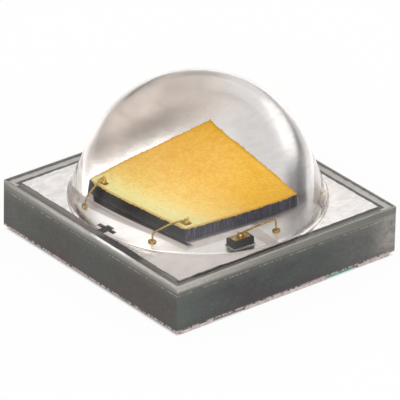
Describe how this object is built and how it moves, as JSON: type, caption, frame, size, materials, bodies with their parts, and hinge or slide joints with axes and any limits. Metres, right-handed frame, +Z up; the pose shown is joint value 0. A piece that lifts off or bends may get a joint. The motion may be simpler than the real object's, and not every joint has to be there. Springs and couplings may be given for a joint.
{
  "type": "surface-mount led",
  "caption": "Square ceramic high-power light-emitting diode under a clear silicone dome, with solder pads on its underside.",
  "frame": {"origin": "middle of the underside, in the plane of the solder pads' faces", "axes": "+Z up out of the lens; the side with the plus notch faces -X, and the side with the small diode faces -Y"},
  "size_m": [0.0034, 0.0034, 0.0022],
  "materials": {
    "ceramic": "saw-cut dark grey ceramic",
    "island_silver": "bright silver plating",
    "strip": "matt pale insulating glass",
    "via_copper": "copper",
    "pad_metal": "matt silver plating",
    "solder_mask": "green solder mask",
    "solder": "solder",
    "chip": "sawn dark semiconductor",
    "phosphor": "granular yellow phosphor",
    "gold": "bare gold",
    "silver_paste": "cured silver paste",
    "diode_body": "polished black semiconductor",
    "clear_silicone": "clear moulded silicone"
  },
  "bodies": {
    "root": {"ceramic_plate": "ceramic", "anode_island": "island_silver", "cathode_island": "island_silver", "insulating_strip": "strip", "anode_vias": "via_copper", "cathode_vias": "via_copper", "anode_pad": "pad_metal", "heat_pad": "pad_metal", "cathode_pad": "pad_metal", "solder_mask_stripe": "solder_mask", "chip_solder": "solder", "led_chip": "chip", "phosphor_coat": "phosphor", "chip_bond_pads": "gold", "back_bond_wire": "gold", "front_bond_wire": "gold", "diode_paste": "silver_paste", "protection_diode": "diode_body", "diode_bond_pad": "gold", "diode_bond_wire": "gold", "silicone_lens": "clear_silicone"}
  },
  "joints": []
}
